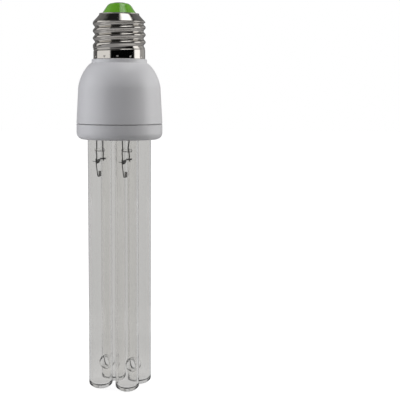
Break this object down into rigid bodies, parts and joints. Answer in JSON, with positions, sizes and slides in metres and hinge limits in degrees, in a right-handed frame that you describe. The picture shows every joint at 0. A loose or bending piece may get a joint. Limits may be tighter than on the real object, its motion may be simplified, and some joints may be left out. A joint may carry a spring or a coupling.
{
  "type": "germicidal uv bulb",
  "caption": "Screw base germicidal ultraviolet bulb: threaded metal cap, bell-shaped white ballast housing and joined clear glass tubes on a square, closed at their tips.",
  "frame": {"origin": "centre of the screw cap's lower rim, where the cap meets the housing collar", "axes": "+Z along the lamp's axis from the glass tubes towards the centre contact; the tube nearest -Y is turned 19.3 degrees from the -Y axis"},
  "size_m": [0.0434, 0.0434, 0.1967],
  "materials": {
    "nickel_sheet": "nickel plated sheet, polished",
    "contact_metal": "tinned brass, satin",
    "green_glass": "pressed glass insulator, glossy green",
    "white_plastic": "heat resistant plastic, satin white",
    "clear_glass": "drawn tube, clear",
    "silicone": "silicone cement",
    "lead_wire": "nickel plated lead-in wire",
    "tungsten": "coated tungsten coil",
    "amalgam": "amalgam plated steel flag",
    "board_laminate": "paper laminate",
    "can_sleeve": "shrink sleeved aluminium can",
    "ferrite": "ferrite",
    "bobbin_plastic": "phenolic bobbin",
    "copper_winding": "enamelled copper wire",
    "film_dip": "epoxy dipped film capacitor",
    "epoxy_black": "moulded epoxy",
    "resistor_lacquer": "lacquered resistor body",
    "thermistor_blue": "coated ceramic disc",
    "fuse_lacquer": "flameproof lacquer",
    "wire_red": "insulated hook-up wire",
    "wire_white": "insulated hook-up wire"
  },
  "bodies": {
    "root": {"screw_shell": "nickel_sheet", "centre_contact": "contact_metal", "cap_insulator": "green_glass", "upper_housing": "white_plastic", "lower_housing": "white_plastic", "tube_cement": "silicone", "glass_envelope": "clear_glass", "lead_wire_1": "lead_wire", "lead_wire_2": "lead_wire", "lead_wire_3": "lead_wire", "lead_wire_4": "lead_wire", "glass_bead_1": "clear_glass", "glass_bead_2": "clear_glass", "filament_coil_1": "tungsten", "filament_coil_2": "tungsten", "flag_wire_1": "lead_wire", "flag_wire_2": "lead_wire", "amalgam_flag_1": "amalgam", "amalgam_flag_2": "amalgam", "circuit_board": "board_laminate", "smoothing_capacitor": "can_sleeve", "choke_core": "ferrite", "choke_bobbin": "bobbin_plastic", "choke_winding": "copper_winding", "toroid_core": "ferrite", "toroid_windings": "copper_winding", "transistors": "epoxy_black", "resonance_capacitor": "film_dip", "film_capacitors": "film_dip", "rectifier_diodes": "epoxy_black", "trigger_diode": "thermistor_blue", "resistors": "resistor_lacquer", "thermistor": "thermistor_blue", "fuse_resistor": "fuse_lacquer", "live_wire": "wire_red", "neutral_wire": "wire_white"}
  },
  "joints": []
}
